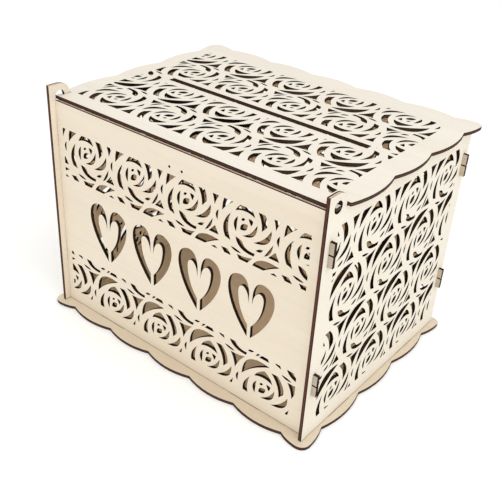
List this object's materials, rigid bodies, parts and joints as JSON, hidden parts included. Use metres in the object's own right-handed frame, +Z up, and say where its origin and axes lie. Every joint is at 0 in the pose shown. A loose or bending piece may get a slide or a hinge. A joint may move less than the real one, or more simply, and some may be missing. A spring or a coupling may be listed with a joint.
{
  "type": "wedding card box",
  "caption": "Flat-pack card box of pierced plywood with rose cut-outs, a row of open hearts, scalloped plates and a hinged lid with a long card slot.",
  "frame": {"origin": "on the ground under the middle of the base plate", "axes": "+Z up, +X along the long wall to the right seen from the hinge side, -Y towards the hinge side"},
  "size_m": [0.2996, 0.2306, 0.2187],
  "materials": {
    "plywood": "bare sanded plywood with laser-burnt edges"
  },
  "bodies": {
    "box": {"base_plate": "plywood", "front_panel": "plywood", "back_panel": "plywood", "left_side": "plywood", "right_side": "plywood"},
    "lid": {"lid": "plywood"}
  },
  "joints": [
    {"name": "lid_hinge", "type": "hinge", "parent": "box", "child": "lid", "pos_m": [0, -0.0976, 0.2079], "axis": [1, 0, 0], "range_deg": [0, 100]}
  ]
}
